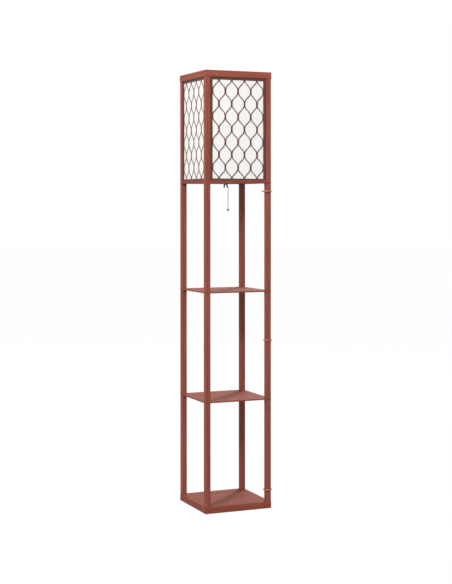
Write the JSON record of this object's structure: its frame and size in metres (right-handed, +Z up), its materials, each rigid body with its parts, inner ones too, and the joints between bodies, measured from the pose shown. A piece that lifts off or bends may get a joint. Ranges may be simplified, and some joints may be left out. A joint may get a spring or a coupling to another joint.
{
  "type": "shelf floor lamp",
  "caption": "Tall square floor lamp with open shelves between corner posts and a box shade with an ogee lattice over white panels.",
  "frame": {"origin": "middle of the felt's underside, where the lamp stands on the floor, on the axis of the four posts", "axes": "+Z up, -Y towards the front, +X to the right when seen from the front"},
  "size_m": [0.2668, 0.2694, 1.6],
  "materials": {
    "mahogany": "satin red-brown stain over fine straight grain",
    "linen": "white linen laminated to a translucent sheet",
    "felt": "pressed felt",
    "steel": "zinc plated",
    "beech": "unfinished turned dowel",
    "brass": "pressed sheet, bright dipped",
    "phenolic": "moulded phenolic resin",
    "bulb_cap": "rolled screw cap",
    "bulb_glass": "blown glass, frosted inside",
    "dark_metal": "dark bronze enamel, semi-gloss",
    "nickel": "nickel plated",
    "ring_plastic": "moulded, glossy, coloured to match the posts"
  },
  "bodies": {
    "frame": {"base_board": "mahogany", "base_bolts": "steel", "base_felt": "felt", "bulb_cap": "bulb_cap", "bulb_glass": "bulb_glass", "cap_dowels": "beech", "cap_rail_front": "mahogany", "cap_rail_left": "mahogany", "cap_rail_rear": "mahogany", "cap_rail_right": "mahogany", "centre_contact": "brass", "chain_horn": "dark_metal", "cord_gland": "dark_metal", "diffuser_front": "linen", "diffuser_left": "linen", "diffuser_rear": "linen", "diffuser_right": "linen", "holder_cap": "brass", "holder_shell": "brass", "joining_studs": "steel", "lattice_front": "mahogany", "lattice_left": "mahogany", "lattice_rear": "mahogany", "lattice_right": "mahogany", "lock_nut": "steel", "lower_post_front_left": "mahogany", "lower_post_front_right": "mahogany", "lower_post_rear_left": "mahogany", "lower_post_rear_right": "mahogany", "lower_shelf": "mahogany", "middle_post_front_left": "mahogany", "middle_post_front_right": "mahogany", "middle_post_rear_left": "mahogany", "middle_post_rear_right": "mahogany", "nipple": "steel", "outlet_block": "dark_metal", "screw_shell": "brass", "shade_floor": "mahogany", "shade_post_front_left": "mahogany", "shade_post_front_right": "mahogany", "shade_post_rear_left": "mahogany", "shade_post_rear_right": "mahogany", "shade_rail_front": "mahogany", "shade_rail_left": "mahogany", "shade_rail_rear": "mahogany", "shade_rail_right": "mahogany", "switch_block": "phenolic", "upper_post_front_left": "mahogany", "upper_post_front_right": "mahogany", "upper_post_rear_left": "mahogany", "upper_post_rear_right": "mahogany", "upper_shelf": "mahogany"},
    "ring_lower": {"ring_lower": "ring_plastic"},
    "ring_middle": {"ring_middle": "ring_plastic"},
    "ring_upper": {"ring_upper": "ring_plastic"},
    "pull_stem": {"chain_stem": "nickel"},
    "chain_link": {"chain_link": "nickel"},
    "pull_chain": {"bead_chain": "nickel", "pull_ball": "nickel"}
  },
  "joints": [
    {"name": "ring_lower_slide", "type": "slide", "parent": "frame", "child": "ring_lower", "axis": [0, 0, 1], "range_m": [-0.0415, 0.3285]},
    {"name": "ring_middle_slide", "type": "slide", "parent": "frame", "child": "ring_middle", "axis": [0, 0, 1], "range_m": [-0.2115, 0.1745]},
    {"name": "ring_upper_slide", "type": "slide", "parent": "frame", "child": "ring_upper", "axis": [0, 0, 1], "range_m": [-0.3615, 0.0263]},
    {"name": "switch_pull", "type": "slide", "parent": "frame", "child": "pull_stem", "axis": [0, 0, -1], "range_m": [0, 0.0045], "stiffness_N_per_m": 2000},
    {"name": "chain_swing_side", "type": "hinge", "parent": "pull_stem", "child": "chain_link", "pos_m": [0.0123, 0, 1.17465], "axis": [0, 1, 0], "range_deg": [-25, 25]},
    {"name": "chain_swing_front", "type": "hinge", "parent": "chain_link", "child": "pull_chain", "pos_m": [0.0123, 0, 1.1688], "axis": [1, 0, 0], "range_deg": [-25, 25]}
  ]
}
